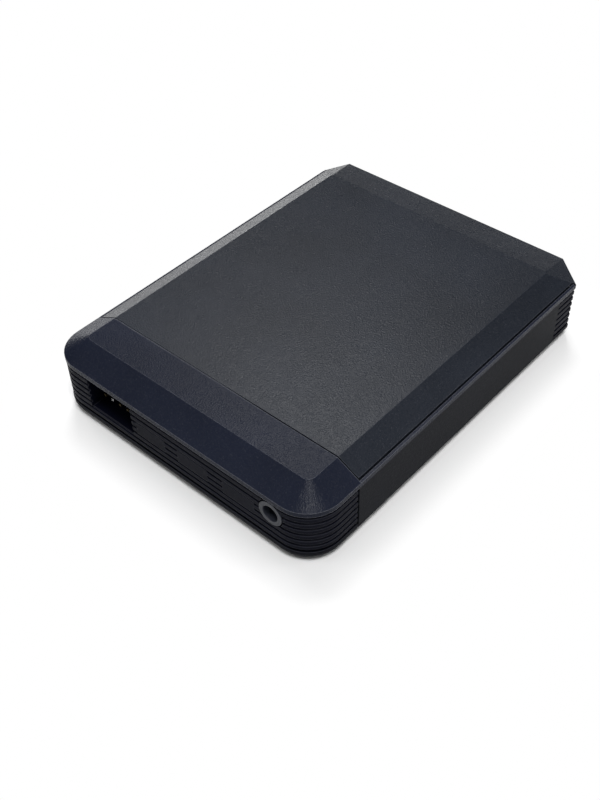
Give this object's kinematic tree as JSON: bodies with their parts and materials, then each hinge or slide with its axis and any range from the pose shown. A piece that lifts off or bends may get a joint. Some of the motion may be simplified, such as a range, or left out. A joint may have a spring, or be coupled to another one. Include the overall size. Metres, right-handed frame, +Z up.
{
  "type": "logic analyzer",
  "caption": "Low black benchtop probe box with a chamfered top, a sliding rear cover, ribbed ends, a probe port and a round jack.",
  "frame": {"origin": "centre of the footprint on the resting plane, under the middle of the box", "axes": "+Z up, -Y towards the end with the probe port and the round jack, +X to the right seen from that end"},
  "size_m": [0.08, 0.105, 0.0189],
  "materials": {
    "case_plastic": "fine satin texture",
    "cover_plastic": "fine sparkling texture",
    "bottom_plastic": "fine satin texture",
    "black_plastic": "smooth moulded",
    "board_green": "solder mask",
    "chip_black": "moulded package",
    "contact_gold": "plated",
    "steel": "plain",
    "tin": "drawn can",
    "rubber": "matte"
  },
  "bodies": {
    "base": {"board_screw_1": "steel", "board_screw_2": "steel", "board_screw_3": "steel", "board_screw_4": "steel", "bottom_shell": "bottom_plastic", "bulk_capacitor_1": "tin", "bulk_capacitor_2": "tin", "case_screw_1": "steel", "case_screw_2": "steel", "case_screw_3": "steel", "case_screw_4": "steel", "crystal": "tin", "front_panel": "case_plastic", "input_buffer_1": "chip_black", "input_buffer_2": "chip_black", "jack_body": "black_plastic", "jack_ring": "case_plastic", "jack_sleeve_contact": "contact_gold", "logic_array": "chip_black", "main_board": "board_green", "probe_header_base": "black_plastic", "probe_pin_1": "contact_gold", "probe_pin_10": "contact_gold", "probe_pin_2": "contact_gold", "probe_pin_3": "contact_gold", "probe_pin_4": "contact_gold", "probe_pin_5": "contact_gold", "probe_pin_6": "contact_gold", "probe_pin_7": "contact_gold", "probe_pin_8": "contact_gold", "probe_pin_9": "contact_gold", "rear_panel": "case_plastic", "rubber_foot_1": "rubber", "rubber_foot_2": "rubber", "rubber_foot_3": "rubber", "rubber_foot_4": "rubber", "sample_memory": "chip_black", "upper_shell": "case_plastic", "usb_controller": "chip_black", "usb_shell": "steel", "usb_tongue": "black_plastic", "voltage_regulator": "chip_black"},
    "cover": {"top_cover": "cover_plastic"},
    "tip_leaf": {"jack_tip_leaf": "contact_gold"}
  },
  "joints": [
    {"name": "cover_slide", "type": "slide", "parent": "base", "child": "cover", "axis": [0, 1, 0], "range_m": [0, 0.075]},
    {"name": "tip_leaf_flex", "type": "hinge", "parent": "base", "child": "tip_leaf", "pos_m": [0.0263, -0.0411, 0.0084], "axis": [0, -1, 0], "range_deg": [0, 4], "stiffness_Nm_per_rad": 0.002}
  ]
}
